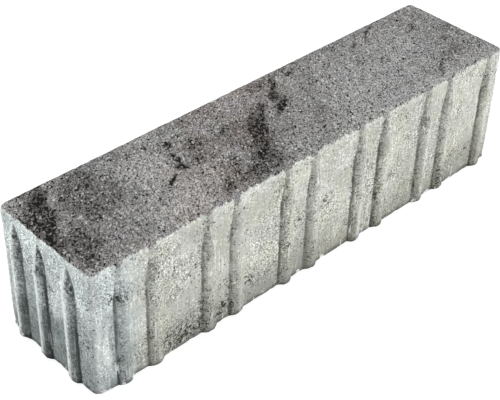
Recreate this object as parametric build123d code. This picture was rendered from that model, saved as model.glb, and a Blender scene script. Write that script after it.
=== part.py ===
"""A long, slim concrete paving stone with upright spacer ribs on all four sides.

Units are millimetres. The origin is the middle of the underside, +X runs along
the stone and +Z points up to the face that is walked on.
"""

import os

from build123d import *

# The plain block, without its ribs
body_length = 315.0
body_width = 75.0
stone_height = 80.0
corner_radius = 4.0  # upright edges
arris_radius = 2.0  # edges round the walking face

# One spacer rib: a flat arch in plan that runs up from the underside to a pointed tip
rib_width = 11.0
rib_height = 2.5  # how far its crest stands out of the side
rib_tip_drop = 3.5  # from the walking face down to the point of the tip
rib_tip_length = 19.5  # from that point down to the full section
rib_tip_share = 0.1  # size of the section at the point, as a share of the full one

# Where the ribs stand: leading ribs are spread evenly along a side, and each but the
# last is followed by a second one, going anticlockwise round the stone from above
rib_pair_gap = 20.0
long_side_leading_ribs = 6
short_side_leading_ribs = 2
wide_margin = 18.5  # from a rib to the corner where a short side runs into a long one
narrow_margin = 13.0  # from a rib to the corner where a long side runs into a short one


def block():
    """The plain stone: a straight-sided bar with eased upright edges and arrises."""
    bar = extrude(RectangleRounded(body_length, body_width, corner_radius), stone_height)
    walking_face = bar.faces().sort_by(Axis.Z)[-1]
    return fillet(walking_face.edges(), arris_radius)


def rib_section():
    """A rib's plan: X runs along the side, Y out of it, and the arch springs from Y = 0.

    Below the arch is the root, which is as deep in the block as the crest is high.
    """
    left = (-rib_width / 2, 0)
    right = (rib_width / 2, 0)
    crest = (0, rib_height)
    arch = ThreePointArc(right, crest, left)
    root = Polyline(left, (-rib_width / 2, -rib_height), (rib_width / 2, -rib_height), right)
    return make_face(arch + root)


def rib():
    """One rib: an even shaft that ends in a pointed tip, which fades into the side."""
    point_level = stone_height - rib_tip_drop
    shaft_top = point_level - rib_tip_length
    full_section = rib_section()
    end_section = scale(full_section, rib_tip_share)
    shaft = extrude(full_section, shaft_top)
    tip = loft([Pos(0, 0, shaft_top) * full_section, Pos(0, 0, point_level) * end_section], ruled=True)
    return shaft + tip


def rib_stations(side_length, start_margin, end_margin, leading_ribs):
    """Places of the ribs along a side, measured from its middle, going anticlockwise."""
    first = start_margin - side_length / 2
    pitch = (side_length - start_margin - end_margin) / (leading_ribs - 1)
    leading = [first + number * pitch for number in range(leading_ribs)]
    followers = [station + rib_pair_gap for station in leading[:-1]]
    return leading + followers


def side_ribs(one_rib, turn, reach, stations):
    """Ribs on one side: `reach` is its distance from the middle, `turn` its angle from the front."""
    front = Pos(0, -reach, 0)
    facing_out = Rot(0, 0, 180)
    return [Rot(0, 0, turn) * front * Pos(station, 0, 0) * facing_out * one_rib for station in stations]


def paving_stone():
    """The whole stone, as one solid."""
    one_rib = rib()
    long_stations = rib_stations(body_length, wide_margin, narrow_margin, long_side_leading_ribs)
    short_stations = rib_stations(body_width, narrow_margin, wide_margin, short_side_leading_ribs)
    ribs = []
    for half_turn in (0, 180):
        ribs += side_ribs(one_rib, half_turn, body_width / 2, long_stations)
        ribs += side_ribs(one_rib, half_turn + 90, body_length / 2, short_stations)
    return block() + ribs


os.makedirs("parts", exist_ok=True)
export_step(paving_stone(), "parts/paving_stone.step")
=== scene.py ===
"""Looks of a concrete paving stone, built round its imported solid.

The solid's surface is sampled by rays on a fine grid, worn inwards by up to about two
millimetres, and given one concrete material. Lengths are metres in the part's own frame.
"""

import math

import bpy
import numpy as np
from mathutils import Matrix, Vector, noise
from mathutils.bvhtree import BVHTree
from mathutils.kdtree import KDTree

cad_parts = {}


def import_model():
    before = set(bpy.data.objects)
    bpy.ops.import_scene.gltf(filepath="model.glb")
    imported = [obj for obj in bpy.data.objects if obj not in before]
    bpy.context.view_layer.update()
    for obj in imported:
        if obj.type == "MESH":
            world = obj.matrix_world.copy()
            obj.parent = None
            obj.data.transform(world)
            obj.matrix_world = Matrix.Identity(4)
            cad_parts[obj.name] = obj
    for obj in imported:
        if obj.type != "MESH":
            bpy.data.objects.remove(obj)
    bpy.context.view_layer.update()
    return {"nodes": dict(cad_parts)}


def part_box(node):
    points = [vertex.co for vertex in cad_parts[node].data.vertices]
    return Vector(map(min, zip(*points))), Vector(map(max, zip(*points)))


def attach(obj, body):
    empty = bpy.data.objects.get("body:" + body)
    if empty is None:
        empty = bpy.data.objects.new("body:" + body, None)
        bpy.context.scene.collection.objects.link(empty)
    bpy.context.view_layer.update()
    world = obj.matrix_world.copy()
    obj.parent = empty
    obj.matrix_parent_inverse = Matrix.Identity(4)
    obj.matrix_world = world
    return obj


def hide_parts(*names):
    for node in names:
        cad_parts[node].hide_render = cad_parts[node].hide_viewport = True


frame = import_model()

MM = 0.001
NODE = "paving_stone"

# The stone, as the part's source has it
RIB_STAND = 2.5 * MM
RIB_TIP_DROP = 3.5 * MM
RIB_TIP_LENGTH = 19.5 * MM
CORNER_RADIUS = 4.0 * MM
ARRIS_RADIUS = 2.0 * MM
REACH_X, REACH_Y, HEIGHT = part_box(NODE)[1]
HALF_X = REACH_X - RIB_STAND
HALF_Y = REACH_Y - RIB_STAND
CORE_X = HALF_X - CORNER_RADIUS
CORE_Y = HALF_Y - CORNER_RADIUS
SIDE_TOP = HEIGHT - ARRIS_RADIUS
POINT_LEVEL = HEIGHT - RIB_TIP_DROP
SHAFT_TOP = POINT_LEVEL - RIB_TIP_LENGTH

# How much of a rib's narrowing its dirt and painted shade follow on the long sides
LONG_SIDE_NARROWING = 0.6
# Power of the narrowing of the dirt and painted shade on the ends, where they make a rounded tip
END_TIP_ROUNDING = 2.2

# Points with a lower girth than this count as underside
UNDERSIDE_GIRTH = -HEIGHT * 0.98

# The sampling grid
GRID_STEP = 1.15 * MM
CORNER_STEPS = 5
ARRIS_STEPS = 4
UNDERSIDE_SHARES = (0.2, 0.4, 0.6, 0.8)
CAST_REACH = 12.0 * MM
LOWEST_CAST = 0.02 * MM

FRONT, RIGHT, BACK, LEFT = range(4)
FAR = 99.0
RANDOM = np.random.RandomState(20)

# Pits: how many, their radii, and their depth as a share of the radius
PIT_COUNT = 500
PIT_RADII = (0.7 * MM, 1.5 * MM)
PIT_DEPTH_SHARE = 0.45

# Pitted patches on the front: middle X and Z and half sizes in millimetres, and strength
FRONT_PATCHES = [
    (-144, 59, 6, 4, 0.9),
    (-118, 65, 3, 5, 0.5),
    (-101, 7, 16, 8, 1.0),
    (-71, 9, 6, 6, 1.0),
    (-54, 19, 6, 7, 0.6),
    (-74, 26, 4, 3, 0.5),
    (-27, 29, 3, 3, 0.9),
    (-17, 40, 5, 4, 0.6),
    (-5, 16, 3, 3, 0.9),
    (5, 41, 5, 4, 0.6),
    (33, 32, 4, 4, 0.5),
    (47, 24, 3, 6, 0.7),
    (59, 32, 4, 3, 0.6),
    (80, 15, 5, 3, 0.4),
    (98, 30, 4, 4, 0.5),
    (107, 9, 4, 7, 0.9),
    (-97, 46, 2, 2, 0.8),
    (-92, 50, 2, 2, 0.7),
    (-105, 56, 1.2, 1.2, 0.9),
    (120, 48, 3, 4, 0.4),
]

# Blotches of the walking face: middle X and Y and half sizes in millimetres, lean in degrees
# from the stone's length, and strength, with dark ones below 0
BLOTCHES = [
    # dark left end
    (-150, 14, 26, 8, 62, -0.62),
    (-149, 2, 14, 2.6, 54, -0.8),
    (-142, 23, 8, 4, 50, -0.4),
    (-148, 30, 4, 3, 0, 0.3),
    (-122, 20, 16, 9, 40, -0.36),
    (-126, 2, 12, 8, 30, -0.25),
    (-145, -17, 16, 12, 20, -0.35),
    (-150, -31, 8, 6, 0, -0.2),
    (-154, -8, 10, 9, 60, -0.25),
    (-125, -27, 20, 10, 0, -0.15),
    (-128, 10, 36, 26, 20, -0.07),
    (-105, 8, 12, 16, 0, -0.3),
    (-108, 33, 20, 6, 0, -0.15),
    (-90, 31, 9, 7, 0, -0.15),
    # pale field with black strokes
    (-84, 10, 16, 14, 40, 0.3),
    (-95, -28, 16, 8, 0, 0.25),
    (-78, -22, 14, 9, 0, 0.2),
    (-80, -6, 7, 1.5, 39, -1.1),
    (-68, 1, 4.5, 2.2, -30, -1.1),
    (-64.5, 9, 5, 1.8, 70, -1.1),
    (-61, 18.5, 3, 2.2, 45, -1.1),
    (-71, 27, 2, 1.3, 60, -1.1),
    (-45, -15, 8, 6, 0, -0.25),
    (-54, 0, 7, 6, 0, -0.35),
    (-49, 12, 7, 6, 0, -0.35),
    (-58, -27, 11, 6, 20, -0.35),
    (-45, -30, 8, 7, 0, -0.3),
    (15, 31, 7, 5, 0, -0.2),
    (42, -32, 22, 7, 0, 0.3),
    # dark band across the middle
    (-30, -14, 42, 10, 10, -0.14),
    (-35, 2, 16, 10, 0, -0.14),
    (-24, 14, 18, 9, 20, -0.16),
    (-40, 32, 18, 8, 0, -0.18),
    (20, 2, 26, 10, 0, -0.1),
    (18, 17, 16, 16, 0, -0.12),
    (-30, -27, 14, 9, 40, -0.5),
    (-20, -7, 16, 7, 48, -0.55),
    (-10, 5, 12, 6, 45, -0.4),
    (1, 15, 6, 5, 45, -0.4),
    (11.5, 7.5, 8.5, 2.2, 40, -0.8),
    (14, 17, 5, 3, 45, -0.5),
    (21, 25, 9, 2.4, 50, -0.6),
    (38, 29.5, 2.5, 1.8, 40, -0.6),
    (24, -13, 10, 5, 30, -0.3),
    # pale right end with a few flecks
    (46, -22, 13, 10, 0, 0.2),
    (72, -8, 32, 18, 0, 0.2),
    (89.5, 24.5, 6, 2.2, 20, -0.4),
    (108, 29, 11, 1.4, 35, -0.5),
    (135.5, 13.5, 2.6, 4, 0, -0.45),
    (140.5, -6.5, 3, 3, 0, -0.35),
    (108, -28, 10, 2, 25, -0.4),
    (128, -22, 18, 8, 20, -0.15),
    (110, -33, 50, 6, 0, 0.25),
    (151, 2, 5, 8, 50, -0.2),
    (135, 8, 8, 24, 0, -0.12),
    (58, 34, 50, 6, 0, -0.15),
]

# How far the walking face's streaks and specks lean from the stone's length
SPECK_LEAN = math.radians(47)

# Marks of the front and the left end, which come again half a turn round the stone: how far the
# bluish strip goes in from the left, the stains' height, the pale smear's middle X and Z and half
# sizes, the damp corner's middle Y, half width and levels, and how far the dark finish runs down at ribs
COOL_STRIP = (14 * MM, 38 * MM)
STAIN_TOP = 42 * MM
SMEAR_MIDDLE = (-151 * MM, 30 * MM)
SMEAR_SIZE = (8 * MM, 19 * MM)
DAMP_MIDDLE = -33 * MM
DAMP_WIDTH = 9 * MM
DAMP_LEVELS = (10 * MM, 46 * MM)
NOTCH_DEPTH_MM = 4.2

# Sizes of the grains that the concrete shows
TOP_GRAIN = 0.42 * MM
TOP_SPECK = 0.85 * MM
TOP_MOTTLE_GRAIN = 1.0 * MM
SIDE_GRAIN = 0.55 * MM
SIDE_SPECK = 0.75 * MM

# Finish: the relief that is left to bump, the range of roughness, and the sheen
BUMP_STRENGTH = 0.5
BUMP_DEPTH = 0.5 * MM
ROUGHNESS = (0.82, 0.96)
SHEEN = 0.05

# Where most values of a shader's noise lie
NOISE_RANGE = (0.3, 0.7)

# Colours, as linear red, green and blue
TOP_DARK = (0.108, 0.102, 0.100)
TOP_GREY = (0.328, 0.328, 0.319)
TOP_PINKISH = (0.352, 0.328, 0.315)
TOP_PURPLE = (0.335, 0.316, 0.332)
TOP_BLUISH = (0.308, 0.322, 0.327)
TOP_BROWN = (0.124, 0.108, 0.098)
TOP_BLACK = (0.008, 0.0075, 0.0075)
GRAIN_WHITE = (0.74, 0.74, 0.71)
SIDE_NEUTRAL = (0.598, 0.605, 0.562)
SIDE_YELLOWISH = (0.590, 0.592, 0.520)
SIDE_COOL = (0.620, 0.680, 0.675)
SIDE_BLUISH = (0.190, 0.225, 0.230)
STAIN = (0.32, 0.315, 0.245)
# Painted shade with dirt: rib flanks facing the near corner, and the creases at their feet
FLANK_DIRT_AND_SHADE_WARM = (0.170, 0.172, 0.145)
FLANK_DIRT_AND_SHADE_COOL = (0.080, 0.093, 0.092)
FOOT_SHADE_AND_DIRT_WARM = (0.085, 0.085, 0.070)
FOOT_SHADE_AND_DIRT_COOL = (0.035, 0.041, 0.040)
TIP_WARM = (0.105, 0.107, 0.092)
TIP_COOL = (0.045, 0.050, 0.047)
# Pale wear, also used as painted highlight on rib flanks
PALE_WEAR_AND_HIGHLIGHT = (0.80, 0.84, 0.82)
PORE = (0.030, 0.030, 0.026)
FLOOR_COLOUR = (0.70, 0.70, 0.70)

# The floor: how far it reaches, the share and strength of the white glow that the camera sees on
# it, and the distances between which it fades to plain white
FLOOR_REACH = 6.0
FLOOR_WHITENING = 0.6
FLOOR_GLOW = 1.24
FLOOR_FADE = (0.35, 1.5)

# The even light, and the lamps by name, direction, distance, size and power
WORLD_LIGHT = 0.5
LAMPS = [
    ("left_back_lamp", (-0.68, 0.73, 0.45), 1.3, 0.8, 9.5),
    ("right_lamp", (0.44, -0.90, 0.50), 2.2, 1.3, 29.0),
    ("top_lamp", (0.0, 0.1, 1.0), 1.5, 1.2, 1.2),
]

# The photograph's view: azimuth, elevation and roll in degrees
CAMERA_ANGLES = (-44.625, 37.893, 1.837)
CAMERA_TARGET = (-0.0253, -0.0078, 0.0404)
CAMERA_DISTANCE = 0.6742
SENSOR_WIDTH_MM = 36.0
CAMERA_FOCAL_SHARE = 2.426  # focal length over the picture's width


# The stone's surface, sampled from the solid


def ring():
    """Stations round the stone, anticlockwise from above: foot on the core, way out, side."""
    corners = [(-CORE_X, -CORE_Y), (CORE_X, -CORE_Y), (CORE_X, CORE_Y), (-CORE_X, CORE_Y)]
    feet, outs, sides = [], [], []
    for side in range(4):
        start = np.array(corners[side])
        end = np.array(corners[(side + 1) % 4])
        count = round(np.linalg.norm(end - start) / GRID_STEP)
        facing = math.radians(90 * side - 90)
        for number in range(count + 1):
            feet.append(start + (end - start) * number / count)
            outs.append((math.cos(facing), math.sin(facing)))
            sides.append(side)
        for number in range(1, CORNER_STEPS):
            angle = facing + math.radians(90) * number / CORNER_STEPS
            feet.append(end)
            outs.append((math.cos(angle), math.sin(angle)))
            sides.append(side if number < CORNER_STEPS / 2 else (side + 1) % 4)
    return np.array(feet), np.array(outs), np.array(sides)


def cast(tree, origin, direction):
    """The first point of the solid that a ray from outside meets."""
    point = tree.ray_cast(Vector(origin), Vector(direction))[0]
    return np.array(point)


def side_row(tree, feet, outs, level):
    """One level of a side, all round the stone."""
    above_floor = max(level, LOWEST_CAST)
    row = []
    for foot, out in zip(feet, outs):
        origin = (*(foot + out * (CORNER_RADIUS + CAST_REACH)), above_floor)
        row.append(cast(tree, origin, (-out[0], -out[1], 0)))
    row = np.array(row)
    row[:, 2] = level
    return row


def arris_row(tree, feet, outs, tilt):
    """One line along the rounded edge of the top, `tilt` up from the sides."""
    row = []
    for foot, out in zip(feet, outs):
        direction = np.array((*(out * math.cos(tilt)), math.sin(tilt)))
        centre = np.array((*(foot + out * (CORNER_RADIUS - ARRIS_RADIUS)), SIDE_TOP))
        row.append(cast(tree, centre + direction * CAST_REACH, -direction))
    return np.array(row)


def drawn_in(row, feet, share):
    """A ring drawn in towards the core, on its own level."""
    inner = row.copy()
    inner[:, :2] = feet + (row[:, :2] - feet) * share
    return inner


def sample_rows(tree, feet, outs):
    """Rings of points from under the stone, up its sides and on to its top, and their girth.

    A ring's girth is how far up the surface it lies from the middle of the arris.
    """
    levels = np.linspace(0, SIDE_TOP, round(SIDE_TOP / GRID_STEP) + 1)
    half_arris = ARRIS_RADIUS * math.radians(45)
    sides = [side_row(tree, feet, outs, level) for level in levels]
    rows = [drawn_in(sides[0], feet, share) for share in UNDERSIDE_SHARES] + sides
    girths = [-HEIGHT] * len(UNDERSIDE_SHARES) + [level - SIDE_TOP - half_arris for level in levels]
    for number in range(1, ARRIS_STEPS + 1):
        tilt = math.radians(90) * number / ARRIS_STEPS
        rows.append(arris_row(tree, feet, outs, tilt))
        girths.append(ARRIS_RADIUS * tilt - half_arris)
    rows.append(drawn_in(rows[-1], feet, 0.5))
    girths.append(half_arris + (CORNER_RADIUS - ARRIS_RADIUS) / 2)
    return rows, girths


def border_of_grid(feet, columns, lines, first):
    """The grid point at the foot of each station."""
    column = np.round((feet[:, 0] / CORE_X + 1) / 2 * (columns - 1)).astype(int)
    line = np.round((feet[:, 1] / CORE_Y + 1) / 2 * (lines - 1)).astype(int)
    return first + line * columns + column


def stone_surface(tree):
    """The closed surface: points, faces, and for each point its station (or -1) and girth."""
    feet, outs, sides = ring()
    rows, girths = sample_rows(tree, feet, outs)
    count = len(feet)
    here = np.arange(count)
    after = (here + 1) % count
    faces = []
    for lower in range(len(rows) - 1):
        a, b = lower * count, (lower + 1) * count
        faces += np.stack([a + here, a + after, b + after, b + here], axis=1).tolist()
    columns = round(2 * CORE_X / GRID_STEP) + 1
    lines = round(2 * CORE_Y / GRID_STEP) + 1
    x, y = np.meshgrid(np.linspace(-CORE_X, CORE_X, columns), np.linspace(-CORE_Y, CORE_Y, lines))
    inside = np.minimum(CORE_X - np.abs(x), CORE_Y - np.abs(y)).ravel()
    points = np.concatenate(rows)
    girth = np.repeat(girths, count)
    for level in (0.0, HEIGHT):
        first = len(points)
        grid = np.stack([x.ravel(), y.ravel(), np.full(x.size, level)], axis=1)
        points = np.concatenate([points, grid])
        on_top = inside + girths[-1] + CORNER_RADIUS / 2
        girth = np.concatenate([girth, on_top if level else np.full(x.size, -HEIGHT)])
        corner = (first + np.arange(lines - 1)[:, None] * columns + np.arange(columns - 1)).ravel()
        quads = np.stack([corner, corner + 1, corner + columns + 1, corner + columns], axis=1)
        border = border_of_grid(feet, columns, lines, first)
        edge = (len(rows) - 1) * count if level else 0
        rim = np.stack([edge + here, edge + after, border[after], border[here]], axis=1)
        for face in np.concatenate([quads, rim]).tolist():
            face = list(dict.fromkeys(face))
            faces.append(face if level else face[::-1])
    station = np.full(len(points), -1)
    station[:len(rows) * count] = np.tile(here, len(rows))
    return points, faces, station, girth, feet, outs, sides


def rib_places(points, station, feet, outs):
    """For each station, its place across the nearest rib: 0 on the crest, -1 and 1 on its feet."""
    count = len(feet)
    outline = feet + outs * CORNER_RADIUS
    steps = np.linalg.norm(np.roll(outline, -1, axis=0) - outline, axis=1)
    along = np.concatenate([[0], np.cumsum(steps)[:-1]])
    low = np.abs(points[:, 2] - HEIGHT / 4)
    low[station < 0] = HEIGHT
    stand = np.zeros(count)
    for index in np.nonzero(low < GRID_STEP / 2)[0]:
        s = station[index]
        stand[s] = (points[index, :2] - feet[s]) @ outs[s] - CORNER_RADIUS
    raised = stand > RIB_STAND / 20
    starts = [s for s in range(count) if raised[s] and not raised[s - 1]]
    ends = [s for s in range(count) if raised[s] and not raised[(s + 1) % count]]
    middles = np.array([(along[a] + along[b]) / 2 for a, b in zip(starts, ends)])
    half = np.mean([along[b] - along[a] for a, b in zip(starts, ends)]) / 2 + GRID_STEP / 2
    gaps = along[:, None] - middles
    nearest = np.argmin(np.abs(gaps), axis=1)
    return gaps[np.arange(count), nearest] / half


# Noise and masks over the surface's points


def field(points, lump, seed, octaves=3, stretch=(1, 1, 1)):
    """Smooth noise at each point, about -1 to 1, with `lump` the size of its largest lumps."""
    samples = points / (lump * np.array(stretch)) + np.array((17.3, 31.7, 53.9)) * seed
    return np.array([noise.fractal(p, 1.0, 2.0, octaves) for p in samples.tolist()])


def smooth(value, low, high):
    """0 at `low`, 1 at `high`, and eased between them."""
    t = np.clip((value - low) / (high - low), 0, 1)
    return t * t * (3 - 2 * t)


def bell(value, width):
    """1 at 0, falling off to either side within about `width`."""
    return np.exp(-(value / width) ** 2)


class Stone:
    """The sampled stone, with the places that its wear and colours are worked out from."""

    def __init__(self, node):
        mesh = node.data
        tree = BVHTree.FromPolygons([v.co for v in mesh.vertices], [p.vertices for p in mesh.polygons])
        self.points, self.faces, self.station, self.girth, feet, outs, sides = stone_surface(tree)
        places = rib_places(self.points, self.station, feet, outs)
        on_ring = self.station >= 0
        across = np.where(on_ring, places[self.station], FAR)
        side = np.where(on_ring, sides[self.station], -1)
        self.end = (side == LEFT) | (side == RIGHT)
        self.front = side == FRONT
        # 1 on the foot of a rib that looks towards the nearer wide margin, -1 on its other foot
        self.toward = np.where(self.end, across, np.where(on_ring, -across, FAR))
        self.x, self.y, self.z = self.points.T
        self.top = self.girth > 0
        narrowing = np.clip((self.z - SHAFT_TOP) / RIB_TIP_LENGTH, 0, 0.95)
        on_end = narrowing ** END_TIP_ROUNDING
        self.on_rib = self.toward / (1 - np.where(self.end, on_end, LONG_SIDE_NARROWING * narrowing))
        dx = np.clip(HALF_X - np.abs(self.x), 0, None)
        dy = np.clip(HALF_Y - np.abs(self.y), 0, None)
        self.to_side = np.minimum(dx, dy)
        self.to_upright = np.hypot(dx, dy)
        self.to_bottom_edge = np.hypot(self.to_side, self.z)
        self.to_bottom_corner = np.hypot(self.to_upright, self.z)


def pitted(stone):
    """Share of pits at each point: patches seen on the front, and loose clusters elsewhere."""
    share = 0.35 * smooth(field(stone.points, 16 * MM, 3), 0.15, 0.7)
    low = 1 - smooth(stone.z, 4 * MM, 26 * MM)
    share += 0.25 * smooth(field(stone.points, 9 * MM, 4), 0.2, 0.7) * low
    share *= ~stone.front * 0.5 + 0.5
    for x, z, half_x, half_z, strength in FRONT_PATCHES:
        across = (stone.x / MM - x) / half_x
        up = (stone.z / MM - z) / half_z
        share += stone.front * strength * bell(np.hypot(across, up), 1.0)
    return np.clip(share, 0, 1) * (stone.girth < -1 * MM) * (stone.girth > UNDERSIDE_GIRTH)


def pits(stone, share):
    """Depth and darkness of small open pits, placed at random where the share is high."""
    tree = KDTree(len(stone.points))
    for index, point in enumerate(stone.points):
        tree.insert(point, index)
    tree.balance()
    depth = np.zeros(len(stone.points))
    dark = np.zeros(len(stone.points))
    chance = share ** 1.5 + 0.004 * (stone.girth > UNDERSIDE_GIRTH) * ~stone.top
    centres = RANDOM.choice(len(stone.points), PIT_COUNT, replace=False, p=chance / chance.sum())
    for centre in centres:
        radius = RANDOM.uniform(*PIT_RADII)
        for _, index, distance in tree.find_range(stone.points[centre], 2 * radius):
            hollow = math.exp(-(distance / radius) ** 2)
            depth[index] = max(depth[index], PIT_DEPTH_SHARE * radius * hollow)
            dark[index] = max(dark[index], hollow)
    return depth, dark


def rib_tips(stone):
    """1 on the rough pointed ends of the ribs, 0 elsewhere."""
    ragged = 2.0 * MM * field(stone.points, 5 * MM, 17, 2)
    within = 1 - smooth(np.abs(stone.on_rib), 0.85, 1.15)
    return within * smooth(stone.z + ragged, SHAFT_TOP - 3 * MM, SHAFT_TOP)


def relief(points, depth, lump, seed, stretch=(1, 1, 1)):
    """Soft unevenness, from 0 to about that depth."""
    return depth * (1 + field(points, lump, seed, 2, stretch)) / 2


def wear(stone, pit_depth):
    """How far the surface lies inside the solid at each point."""
    p = stone.points
    underside = stone.girth <= UNDERSIDE_GIRTH
    side = ~stone.top & ~underside
    depth = relief(p, 0.20 * MM, 34 * MM, 5)
    depth += side * relief(p, 0.16 * MM, 2.4 * MM, 6, stretch=(1, 1, 16))
    depth += side * relief(p, 0.20 * MM, 3.0 * MM, 7)
    depth += stone.top * relief(p, 0.16 * MM, 2.6 * MM, 8)
    chips = np.clip(field(p, 5 * MM, 9, 3), 0, 1)
    depth += bell(stone.girth, 1.6 * MM) * (0.05 + 0.40 * chips) * MM
    depth += bell(stone.to_upright, 5 * MM) * (0.1 + 0.5 * chips) * MM
    depth += bell(stone.to_bottom_edge, 2.0 * MM) * (0.05 + 0.7 * chips) * MM
    depth += bell(stone.to_bottom_corner, 7 * MM) * 0.5 * MM
    depth += side * rib_tips(stone) * 0.35 * MM * np.clip(field(p, 2.6 * MM, 10, 2) + 0.3, 0, 1)
    depth += pit_depth
    return np.where(underside & (stone.to_side > 6 * MM), 0, depth)


def mottle(stone):
    """Light and dark blotches of the walking face, -1 to 1."""
    x = stone.x / MM + 3.0 * field(stone.points, 15 * MM, 11)
    y = stone.y / MM + 3.0 * field(stone.points, 15 * MM, 12)
    total = np.zeros(len(stone.points))
    for middle_x, middle_y, half_length, half_width, lean, strength in BLOTCHES:
        c, s = math.cos(math.radians(lean)), math.sin(math.radians(lean))
        u = ((x - middle_x) * c + (y - middle_y) * s) / half_length
        v = ((y - middle_y) * c - (x - middle_x) * s) / half_width
        total += strength * np.exp(-(u * u + v * v) ** 1.4)
    return np.clip(total, -1, 1)


def masks(stone, share, dark):
    """The stone's colour masks, one number a point each."""
    p = stone.points
    patchy = field(p, 8 * MM, 13)
    notch = bell(stone.toward - 0.15, 0.45) * np.clip(0.85 + 0.6 * field(p, 30 * MM, 15, 1), 0.4, 1)
    notch *= np.where(stone.end, 0.15, 1.0)
    half_turn_x = stone.x * np.where(stone.y > 0, -1, 1)
    half_turn_y = stone.y * np.where(stone.x > 0, -1, 1)
    low = (1 - smooth(stone.z, 0, STAIN_TOP)) * np.clip(0.5 + 0.9 * field(p, 20 * MM, 16), 0, 1)
    low *= np.where(stone.end, 0.3, 0.45 + 0.55 * smooth(half_turn_x, -80 * MM, 20 * MM))
    edge = 0.3 * bell(stone.girth + 1.5 * MM, 2.5 * MM) + 0.4 * bell(stone.to_upright, 4 * MM)
    cool = 1 - smooth(half_turn_x + HALF_X + 6 * MM * patchy, *COOL_STRIP)
    above_rib = bell(stone.toward - 0.1, 0.4) * smooth(stone.z, HEIGHT - 9 * MM, HEIGHT - 4 * MM)
    smear = bell(half_turn_x - SMEAR_MIDDLE[0], SMEAR_SIZE[0])
    smear *= bell(stone.z - SMEAR_MIDDLE[1], SMEAR_SIZE[1])
    damp = bell(half_turn_y - DAMP_MIDDLE, DAMP_WIDTH) * (1 - smooth(stone.z, *DAMP_LEVELS))
    return {
        "facing": np.clip(stone.girth / MM + NOTCH_DEPTH_MM * notch, -9, 9),
        "mottle": mottle(stone),
        "rib": np.clip(stone.on_rib, -3, 3),
        "near_rib": 1 - smooth(np.abs(stone.on_rib), 1.3, 1.6),
        "above_rib": np.where(stone.end, 0.2, 1) * above_rib,
        "end": stone.end.astype(float),
        "pits": dark,
        "pitted": share,
        "stain": np.clip(low, 0, 1),
        "edge": np.clip(edge, 0, 1),
        "cool": np.where(stone.end, 1.0, cool),
        "grime_and_shade": 0.45 + 0.30 * smooth(half_turn_x, -70 * MM, 0),
        "smear": ~stone.end * smear,
        "damp": stone.end * damp,
        "warm": bell(stone.x / MM - 1.2 * stone.y / MM + 41, 40),
    }


def stone_object(stone):
    """The worn stone as a mesh, with its masks as attributes."""
    share = pitted(stone)
    pit_depth, dark = pits(stone, share)
    mesh = bpy.data.meshes.new("stone")
    mesh.from_pydata(stone.points.tolist(), [], stone.faces)
    normals = np.zeros(len(stone.points) * 3)
    mesh.vertex_normals.foreach_get("vector", normals)
    worn = stone.points - normals.reshape(-1, 3) * wear(stone, pit_depth)[:, None]
    worn[:, 2] = np.clip(worn[:, 2], 0, HEIGHT)
    mesh.vertices.foreach_set("co", worn.ravel())
    for name, values in masks(stone, share, dark).items():
        mesh.attributes.new(name, "FLOAT", "POINT").data.foreach_set("value", values)
    mesh.polygons.foreach_set("use_smooth", [True] * len(mesh.polygons))
    mesh.update()
    stone_piece = bpy.data.objects.new("stone", mesh)
    bpy.context.scene.collection.objects.link(stone_piece)
    return stone_piece


# The concrete


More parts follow.
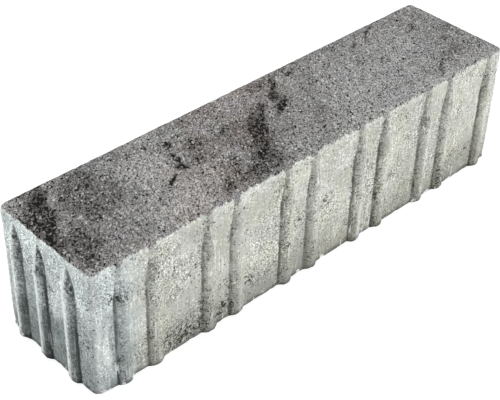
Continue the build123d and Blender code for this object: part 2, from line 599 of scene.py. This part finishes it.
class Shader:
    """Short names for the nodes of one material."""

    def __init__(self, name):
        self.material = bpy.data.materials.new(name)
        self.material.use_nodes = True
        self.tree = self.material.node_tree
        self.tree.nodes.clear()
        self.place = self.tree.nodes.new("ShaderNodeTexCoord").outputs["Object"]

    def node(self, kind, inputs, **settings):
        """A node with its inputs set or linked, by name or number."""
        made = self.tree.nodes.new(kind)
        for key, value in settings.items():
            setattr(made, key, value)
        for key, value in inputs.items():
            if isinstance(value, bpy.types.NodeSocket):
                self.tree.links.new(value, made.inputs[key])
            else:
                made.inputs[key].default_value = value
        return made

    def mask(self, name):
        """One of the stone's masks."""
        return self.node("ShaderNodeAttribute", {}, attribute_name=name).outputs["Fac"]

    def math(self, operation, a, b=0.0):
        """The outcome of one math node."""
        return self.node("ShaderNodeMath", {0: a, 1: b}, operation=operation).outputs[0]

    def add(self, a, b):
        """The sum of two values."""
        return self.math("ADD", a, b)

    def times(self, product, *factors):
        """The product of two or more values."""
        for factor in factors:
            product = self.math("MULTIPLY", product, factor)
        return product

    def eased(self, value, low, high, to_low=0.0, to_high=1.0):
        """`to_low` below `low`, `to_high` above `high`, and eased between them."""
        inputs = {"Value": value, "From Min": low, "From Max": high, "To Min": to_low, "To Max": to_high}
        return self.node("ShaderNodeMapRange", inputs, interpolation_type="SMOOTHSTEP").outputs["Result"]

    def stretched(self, stretch, lean=0.0):
        """Places on the stone, for a texture drawn out by those factors and then turned about Z."""
        inputs = {"Vector": self.place, "Rotation": (0, 0, lean), "Scale": stretch}
        return self.node("ShaderNodeMapping", inputs, vector_type="TEXTURE").outputs["Vector"]

    def noise(self, lump, detail=2.0, stretch=(1, 1, 1), lean=0.0):
        """Smooth noise from 0 to 1 with lumps of about that size."""
        inputs = {"Vector": self.stretched(stretch, lean), "Scale": 0.5 / lump, "Detail": detail}
        return self.node("ShaderNodeTexNoise", inputs).outputs["Fac"]

    def varied(self, lump, detail, low, high):
        """A factor that noise carries from low to high."""
        return self.eased(self.noise(lump, detail), *NOISE_RANGE, low, high)

    def grains(self, size, stretch=(1, 1, 1), lean=0.0):
        """A random number from 0 to 1 for each grain of about that size."""
        made = self.node("ShaderNodeTexVoronoi", {"Vector": self.stretched(stretch, lean), "Scale": 1 / size})
        return self.node("ShaderNodeSeparateColor", {0: made.outputs["Color"]}).outputs[0]

    def leaning_grains(self, size, length):
        """Grains of the walking face, drawn out along their lean by that factor."""
        return self.grains(size, (length, 1, 1), SPECK_LEAN)

    def level(self):
        """Height over the floor."""
        return self.node("ShaderNodeSeparateXYZ", {0: self.place}).outputs["Z"]

    def swing(self, value, reach):
        """A value from 0 to 1 as one that swings either way by half that reach."""
        return self.times(self.add(value, -0.5), reach)

    def wobble(self, lump, reach, detail=3.0):
        """Noise that swings either way by about that reach."""
        return self.swing(self.noise(lump, detail), 4 * reach)

    def between(self, share, a, b):
        """Value a where the share is 0, b where it is 1."""
        return self.node("ShaderNodeMix", {0: share, 2: a, 3: b}, data_type="FLOAT").outputs[0]

    def blend(self, share, a, b, blend_type="MIX"):
        """Colour a where the share is 0, b where it is 1."""
        a, b = ((*colour, 1) if isinstance(colour, tuple) else colour for colour in (a, b))
        inputs = {0: share, 6: a, 7: b}
        return self.node("ShaderNodeMix", inputs, data_type="RGBA", blend_type=blend_type).outputs[2]

    def scaled(self, colour, factor):
        """A colour made lighter or darker by that factor."""
        grey = self.node("ShaderNodeCombineColor", {0: factor, 1: factor, 2: factor}).outputs[0]
        return self.blend(1.0, colour, grey, "MULTIPLY")


def pale_tint(sh, warm):
    """The walking face's pale grey, with bluish, pinkish and purple patches."""
    bluish = sh.eased(sh.noise(11 * MM, 2), 0.52, 0.66, 0.0, 0.45)
    purple = sh.eased(sh.noise(8 * MM, 2), 0.52, 0.62, 0.0, 0.9)
    purple = sh.times(purple, sh.add(sh.times(sh.mask("warm"), 0.7), 0.3))
    tint = sh.blend(bluish, TOP_GREY, TOP_BLUISH)
    tint = sh.blend(warm, tint, TOP_PINKISH)
    return sh.blend(purple, tint, TOP_PURPLE)


def walking_face_colour(sh):
    """Mottled grey concrete: black specks, dense where it is dark, and a few pale grains."""
    tone = sh.add(sh.times(sh.mask("mottle"), 0.95), 0.62)
    tone = sh.add(tone, sh.swing(sh.noise(14 * MM, 4), 0.4))
    tone = sh.add(tone, sh.swing(sh.noise(4 * MM, 3, stretch=(3, 1, 1), lean=SPECK_LEAN), 0.4))
    warm = sh.times(sh.mask("warm"), sh.eased(sh.noise(9 * MM, 3), 0.35, 0.6, 0.2, 1.0))
    dark = sh.blend(warm, TOP_DARK, TOP_BROWN)
    jitter = sh.swing(sh.leaning_grains(TOP_MOTTLE_GRAIN, 1.3), 0.3)
    colour = sh.blend(sh.eased(sh.add(tone, jitter), 0.06, 0.86), dark, pale_tint(sh, warm))
    grain = sh.eased(sh.leaning_grains(TOP_GRAIN, 1.5), 0.0, 1.0, 0.26, 1.79)
    colour = sh.scaled(colour, sh.times(grain, sh.varied(1.2 * MM, 2, 0.92, 1.08)))
    specks = sh.add(sh.leaning_grains(TOP_SPECK, 1.4), sh.wobble(2.5 * MM, 0.03))
    clumps = sh.swing(sh.noise(1.1 * MM, 2), sh.eased(tone, 0.1, 0.6, 2.8, 0.0))
    black = sh.math("LESS_THAN", sh.add(specks, clumps), sh.eased(tone, -0.3, 0.52, 0.74, 0.048))
    colour = sh.blend(sh.times(black, 0.95), colour, TOP_BLACK)
    white = sh.math("GREATER_THAN", specks, sh.eased(tone, 0.0, 0.6, 0.95, 0.965))
    return sh.blend(sh.times(white, sh.eased(tone, 0.0, 0.6, 0.35, 0.7)), colour, GRAIN_WHITE)


def pores(sh):
    """Small ragged holes, a few everywhere and many in pitted places."""
    ragged = sh.noise(1.1 * MM, 4)
    limit = sh.eased(sh.mask("pitted"), 0.0, 1.0, 0.325, 0.44)
    limit = sh.add(limit, sh.times(sh.mask("pits"), 0.07))
    return sh.eased(sh.math("SUBTRACT", limit, ragged), 0.0, 0.02)


def side_shade(sh, cool, level):
    """How light a side is, as painted shade, partly dirt: darker towards the floor, most of all on the ends.
    """
    warm_part = sh.eased(level, 0.0, 34 * MM, 0.66, 1.0)
    strip = sh.eased(level, 0.0, 30 * MM, 0.58, 0.90)
    on_end = sh.eased(level, 0.0, 62 * MM, 0.48, 1.09)
    return sh.between(cool, warm_part, sh.between(sh.mask("end"), strip, on_end))


def side_texture(sh, cool):
    """The fine light and dark of a side: upright drag marks, grains where it is rough, soft noise."""
    marks = sh.noise(0.55 * MM, 2, stretch=(1, 1, 10))
    warm_drag = sh.eased(marks, *NOISE_RANGE, 0.90, 1.09)
    cool_drag = sh.eased(marks, *NOISE_RANGE, 0.86, 1.12)
    rough = sh.eased(sh.noise(12 * MM, 3), 0.38, 0.62, 0.3, 1.0)
    rough = sh.times(rough, sh.eased(cool, 0.0, 1.0, 1.0, 1.1))
    rough = sh.math("MAXIMUM", rough, sh.times(sh.mask("end"), 0.9))
    grain = sh.between(rough, 1.0, sh.eased(sh.grains(SIDE_GRAIN), 0.0, 1.0, 0.44, 1.48))
    return sh.times(sh.between(cool, warm_drag, cool_drag), grain, sh.varied(2.5 * MM, 3, 0.93, 1.06))


def bare_side(sh, cool):
    """Pale cast concrete, bluish in places, smeared near the front's left end, stained low down and darker
    towards the floor with painted shade.
    """
    level = sh.add(sh.level(), sh.wobble(18 * MM, 8 * MM))
    warm = sh.blend(sh.eased(sh.noise(9 * MM, 3), 0.38, 0.62), SIDE_NEUTRAL, SIDE_YELLOWISH)
    cloud = sh.varied(16 * MM, 3, 0.88, 1.08)
    colour = sh.blend(cool, warm, SIDE_COOL)
    # painted shade, partly dirt: darker towards the floor
    colour = sh.scaled(colour, sh.times(cloud, side_shade(sh, cool, level)))
    bluish = sh.eased(sh.noise(11 * MM, 4), 0.45, 0.60, 0.0, 0.75)
    bluish = sh.times(bluish, sh.eased(level, 12 * MM, 60 * MM, 1.0, 0.3), cool)
    bluish = sh.math("MAXIMUM", bluish, sh.times(sh.mask("damp"), 0.6))
    colour = sh.blend(bluish, colour, SIDE_BLUISH)
    colour = sh.scaled(colour, side_texture(sh, cool))
    streaks = sh.eased(sh.noise(1.8 * MM, 3, stretch=(1, 1, 7)), 0.40, 0.60, 0.15, 0.8)
    colour = sh.blend(sh.times(sh.mask("smear"), streaks), colour, PALE_WEAR_AND_HIGHLIGHT)
    return sh.blend(sh.times(sh.mask("stain"), 0.55), colour, STAIN)


def worn_and_lit_flank(sh, rib, end):
    """Share of worn light and painted highlight on the rib flanks that look away from the near corner."""
    light = sh.times(sh.eased(rib, -1.3, -0.9), sh.eased(rib, -0.3, 0.2, 1.0, 0.0))
    streaks = sh.eased(sh.noise(8 * MM, 3, stretch=(1, 1, 3)), 0.48, 0.66)
    return sh.times(light, sh.mask("near_rib"), sh.between(end, sh.times(streaks, 0.5), 0.75))


def dirty_and_shaded_flank(sh, rib, end):
    """Shares of dirt and painted shade on the flanks that look towards the near corner, more of it low down,
    and of painted shade and dirt in the creases along their feet.
    """
    within = sh.times(sh.mask("near_rib"), sh.eased(rib, 1.0, 1.12, 1.0, 0.0))
    long_flank = sh.times(sh.eased(rib, -0.35, 0.8), sh.mask("grime_and_shade"))
    flank = sh.between(end, long_flank, sh.eased(rib, 0.0, 0.65, 0.0, 0.95))
    patchy = sh.eased(sh.noise(3.5 * MM, 4), 0.3, 0.6, 0.6, 1.0)
    patchy = sh.times(patchy, sh.eased(sh.noise(0.8 * MM, 3), 0.35, 0.62, 1.15, 0.55))
    low = sh.eased(sh.level(), 8 * MM, 55 * MM, 1.0, 0.7)
    foot = sh.times(sh.eased(rib, 0.70, 0.95), sh.eased(sh.noise(9 * MM, 3), 0.35, 0.6, 0.3, 0.85))
    foot = sh.times(foot, sh.eased(sh.level(), SHAFT_TOP, SHAFT_TOP + 12 * MM, 1.0, 0.35))
    return sh.times(flank, within, patchy, low), sh.times(foot, within)


def dirty_tip(sh, rib, end):
    """Share of dirt on the ribs' rough tips, and on the edge above them."""
    level = sh.add(sh.level(), sh.between(end, sh.wobble(9 * MM, 8 * MM), sh.wobble(6 * MM, 2 * MM)))
    tip = sh.eased(level, SHAFT_TOP - 6 * MM, SHAFT_TOP + 3 * MM)
    tip = sh.times(tip, sh.eased(sh.math("ABSOLUTE", rib), 0.8, 1.1, 1.0, 0.0))
    on_long = sh.times(sh.eased(sh.noise(28 * MM, 1), 0.38, 0.62, 0.7, 1.2), sh.mask("grime_and_shade"))
    fading = sh.eased(sh.level(), POINT_LEVEL - 8 * MM, POINT_LEVEL, 1.0, 0.25)
    on_end = sh.times(fading, sh.eased(rib, -0.7, 0.1, 0.2, 1.0))
    tip = sh.times(tip, sh.between(end, on_long, on_end), sh.mask("near_rib"))
    tip = sh.math("MAXIMUM", tip, sh.mask("above_rib"))
    rough = sh.eased(sh.noise(0.9 * MM, 3), 0.42, 0.60, 1.0, 0.3)
    return sh.times(tip, rough, sh.eased(sh.noise(5 * MM, 2), 0.35, 0.6, 0.5, 1.0))


def rib_marks(sh, cool, colour):
    """Worn light with painted highlight, dirt with painted shade, and dark tips on the ribs."""
    rib = sh.add(sh.mask("rib"), sh.wobble(1.5 * MM, 0.04))
    end = sh.mask("end")
    flank, foot = dirty_and_shaded_flank(sh, rib, end)
    # partly wear, partly painted highlight on the flanks that look away from the near corner
    colour = sh.blend(worn_and_lit_flank(sh, rib, end), colour, PALE_WEAR_AND_HIGHLIGHT)
    # painted shade with dirt on the flanks facing the near corner, and in the creases at their feet
    colour = sh.blend(flank, colour, sh.blend(cool, FLANK_DIRT_AND_SHADE_WARM, FLANK_DIRT_AND_SHADE_COOL))
    colour = sh.blend(foot, colour, sh.blend(cool, FOOT_SHADE_AND_DIRT_WARM, FOOT_SHADE_AND_DIRT_COOL))
    return sh.blend(dirty_tip(sh, rib, end), colour, sh.blend(cool, TIP_WARM, TIP_COOL))


def side_specks(sh, cool, colour):
    """Light and dark specks, crowded on the flanks with dirt and painted shade and in pitted places, and
    pores.
    """
    specks = sh.grains(SIDE_SPECK)
    pitted_share = sh.mask("pitted")
    flank = sh.times(sh.mask("near_rib"), sh.eased(sh.mask("rib"), -0.2, 0.6, 0.0, 0.16))
    flank = sh.times(flank, sh.eased(sh.noise(7 * MM, 3), 0.42, 0.60))
    crowd = sh.add(sh.eased(sh.noise(6 * MM, 3), 0.40, 0.68, 0.004, 0.05), flank)
    crowd = sh.times(crowd, sh.eased(cool, 0.0, 1.0, 1.0, 0.5))
    crowd = sh.add(crowd, sh.times(pitted_share, 0.42))
    white = sh.math("GREATER_THAN", specks, sh.eased(pitted_share, 0.0, 1.0, 0.94, 0.85))
    colour = sh.scaled(colour, sh.between(white, 1.0, 1.4))
    colour = sh.blend(sh.times(sh.math("LESS_THAN", specks, crowd), 0.7), colour, PORE)
    return sh.blend(sh.times(pores(sh), 0.9), colour, PORE)


def side_colour(sh):
    """The sides, with rib marks, light edges, painted contact shade along the floor, drag marks, chips along
    the floor, specks and pores.
    """
    cool = sh.mask("cool")
    colour = rib_marks(sh, cool, bare_side(sh, cool))
    colour = sh.blend(sh.times(sh.mask("edge"), 0.8), colour, PALE_WEAR_AND_HIGHLIGHT)
    # painted contact shade, partly dirt: the last few millimetres above the floor are darker
    ragged_level = sh.add(sh.level(), sh.wobble(4 * MM, 1.0 * MM))
    colour = sh.scaled(colour, sh.eased(ragged_level, 0.5 * MM, 4.0 * MM, 0.52, 1.0))
    upright = sh.eased(sh.noise(1.1 * MM, 2, stretch=(1, 1, 12)), 0.60, 0.66)
    upright = sh.times(upright, sh.eased(sh.noise(9 * MM, 2), 0.46, 0.58, 0.0, 0.7))
    upright = sh.times(upright, sh.eased(sh.mask("end"), 0.0, 1.0, 1.0, 0.4))
    colour = sh.blend(upright, colour, PALE_WEAR_AND_HIGHLIGHT)
    chips = sh.eased(sh.level(), 1.0 * MM, 3.5 * MM, 1.0, 0.0)
    chips = sh.times(chips, sh.eased(sh.noise(2.5 * MM, 3), 0.60, 0.64))
    return side_specks(sh, cool, sh.blend(chips, colour, PALE_WEAR_AND_HIGHLIGHT))


def concrete():
    """One cast concrete: pale sides and underside, and a dark mottled walking face."""
    sh = Shader("concrete")
    ragged = sh.swing(sh.noise(0.6 * MM, 2, stretch=(1, 1, 7)), 6.0)
    ragged = sh.add(sh.wobble(1.6 * MM, 0.6), ragged)
    ragged = sh.times(ragged, sh.eased(sh.mask("end"), 0.0, 1.0, 1.0, 0.5))
    facing = sh.eased(sh.add(sh.mask("facing"), ragged), -0.5, 0.5)
    rough_grain = sh.times(sh.add(sh.noise(0.9 * MM, 3), sh.grains(1.1 * MM)), 0.5)
    drag = sh.times(sh.noise(1.2 * MM, 2, stretch=(1, 1, 14)), 0.3)
    smooth_grain = sh.add(sh.times(sh.noise(0.8 * MM, 3), 0.5), drag)
    height = sh.between(facing, smooth_grain, rough_grain)
    bump = sh.node("ShaderNodeBump", {"Height": height, "Strength": BUMP_STRENGTH, "Distance": BUMP_DEPTH})
    inputs = {
        "Base Color": sh.blend(facing, side_colour(sh), walking_face_colour(sh)),
        "Normal": bump.outputs[0],
        "Roughness": sh.varied(3 * MM, 2, *ROUGHNESS),
        "Specular IOR Level": SHEEN,
    }
    surface = sh.node("ShaderNodeBsdfPrincipled", inputs)
    sh.node("ShaderNodeOutputMaterial", {"Surface": surface.outputs[0]})
    return sh.material


# Floor, light and camera


def floor():
    """A pale floor that the camera sees as white, with the stone's soft shadow on it."""
    mesh = bpy.data.meshes.new("floor")
    reach = FLOOR_REACH
    corners = [(-reach, -reach, 0), (reach, -reach, 0), (reach, reach, 0), (-reach, reach, 0)]
    mesh.from_pydata(corners, [], [(0, 1, 2, 3)])
    sh = Shader("floor")
    path = sh.node("ShaderNodeLightPath", {})
    seen = sh.math("MAXIMUM", path.outputs["Is Camera Ray"], path.outputs["Is Glossy Ray"])
    seen = sh.math("MAXIMUM", seen, path.outputs["Is Transmission Ray"])
    diffuse = sh.node("ShaderNodeBsdfDiffuse", {"Color": sh.blend(seen, FLOOR_COLOUR, (1, 1, 1))})
    far = sh.node("ShaderNodeVectorMath", {0: sh.place}, operation="LENGTH").outputs["Value"]
    far = sh.eased(far, *FLOOR_FADE)
    glow = sh.between(far, FLOOR_GLOW, 1.0)
    white = sh.node("ShaderNodeEmission", {"Color": (1, 1, 1, 1), "Strength": glow})
    whitening = sh.times(seen, sh.between(far, FLOOR_WHITENING, 1.0))
    surface = sh.node("ShaderNodeMixShader", {0: whitening, 1: diffuse.outputs[0], 2: white.outputs[0]})
    sh.node("ShaderNodeOutputMaterial", {"Surface": surface.outputs[0]})
    mesh.materials.append(sh.material)
    plane = bpy.data.objects.new("floor", mesh)
    bpy.context.scene.collection.objects.link(plane)


def world():
    """Even light from all round, which the camera sees as white."""
    made = bpy.data.worlds.new("studio")
    made.use_nodes = True
    tree = made.node_tree
    path = tree.nodes.new("ShaderNodeLightPath")
    seen = path.outputs["Is Camera Ray"]
    for ray in ("Is Glossy Ray", "Is Transmission Ray"):
        either = tree.nodes.new("ShaderNodeMath")
        either.operation = "MAXIMUM"
        tree.links.new(seen, either.inputs[0])
        tree.links.new(path.outputs[ray], either.inputs[1])
        seen = either.outputs[0]
    level = tree.nodes.new("ShaderNodeMapRange")
    level.inputs["To Min"].default_value = WORLD_LIGHT
    tree.links.new(seen, level.inputs["Value"])
    background = tree.nodes["Background"]
    background.inputs["Color"].default_value = (1, 1, 1, 1)
    tree.links.new(level.outputs["Result"], background.inputs["Strength"])
    bpy.context.scene.world = made


def soft_light(name, direction, distance, size, power):
    """A square lamp that looks at the stone from that direction."""
    lamp = bpy.data.lights.new(name, "AREA")
    lamp.size = size
    lamp.energy = power
    holder = bpy.data.objects.new(name, lamp)
    way = Vector(direction).normalized()
    facing = way.to_track_quat("Z", "Y").to_matrix().to_4x4()
    holder.matrix_world = Matrix.Translation(way * distance) @ facing
    bpy.context.scene.collection.objects.link(holder)


def camera():
    """The photograph's view: azimuth from the front, elevation, and a slight roll."""
    azimuth, elevation, roll = (math.radians(a) for a in CAMERA_ANGLES)
    flat = math.cos(elevation)
    back = Vector((math.sin(azimuth) * flat, -math.cos(azimuth) * flat, math.sin(elevation)))
    right = Vector((math.cos(azimuth), math.sin(azimuth), 0))
    up = back.cross(right)
    turned_right = right * math.cos(roll) + up * math.sin(roll)
    turned_up = up * math.cos(roll) - right * math.sin(roll)
    axes = Matrix((turned_right, turned_up, back)).transposed().to_4x4()
    lens = bpy.data.cameras.new("camera")
    lens.sensor_fit = "HORIZONTAL"
    lens.sensor_width = SENSOR_WIDTH_MM
    lens.lens = CAMERA_FOCAL_SHARE * SENSOR_WIDTH_MM
    holder = bpy.data.objects.new("camera", lens)
    holder.matrix_world = Matrix.Translation(Vector(CAMERA_TARGET) + back * CAMERA_DISTANCE) @ axes
    bpy.context.scene.collection.objects.link(holder)
    bpy.context.scene.camera = holder


stone_piece = stone_object(Stone(frame["nodes"][NODE]))
stone_piece.data.materials.append(concrete())
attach(stone_piece, "root")
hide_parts(NODE)

floor()
world()
for lamp in LAMPS:
    soft_light(*lamp)
camera()
bpy.context.scene.view_settings.view_transform = "Standard"
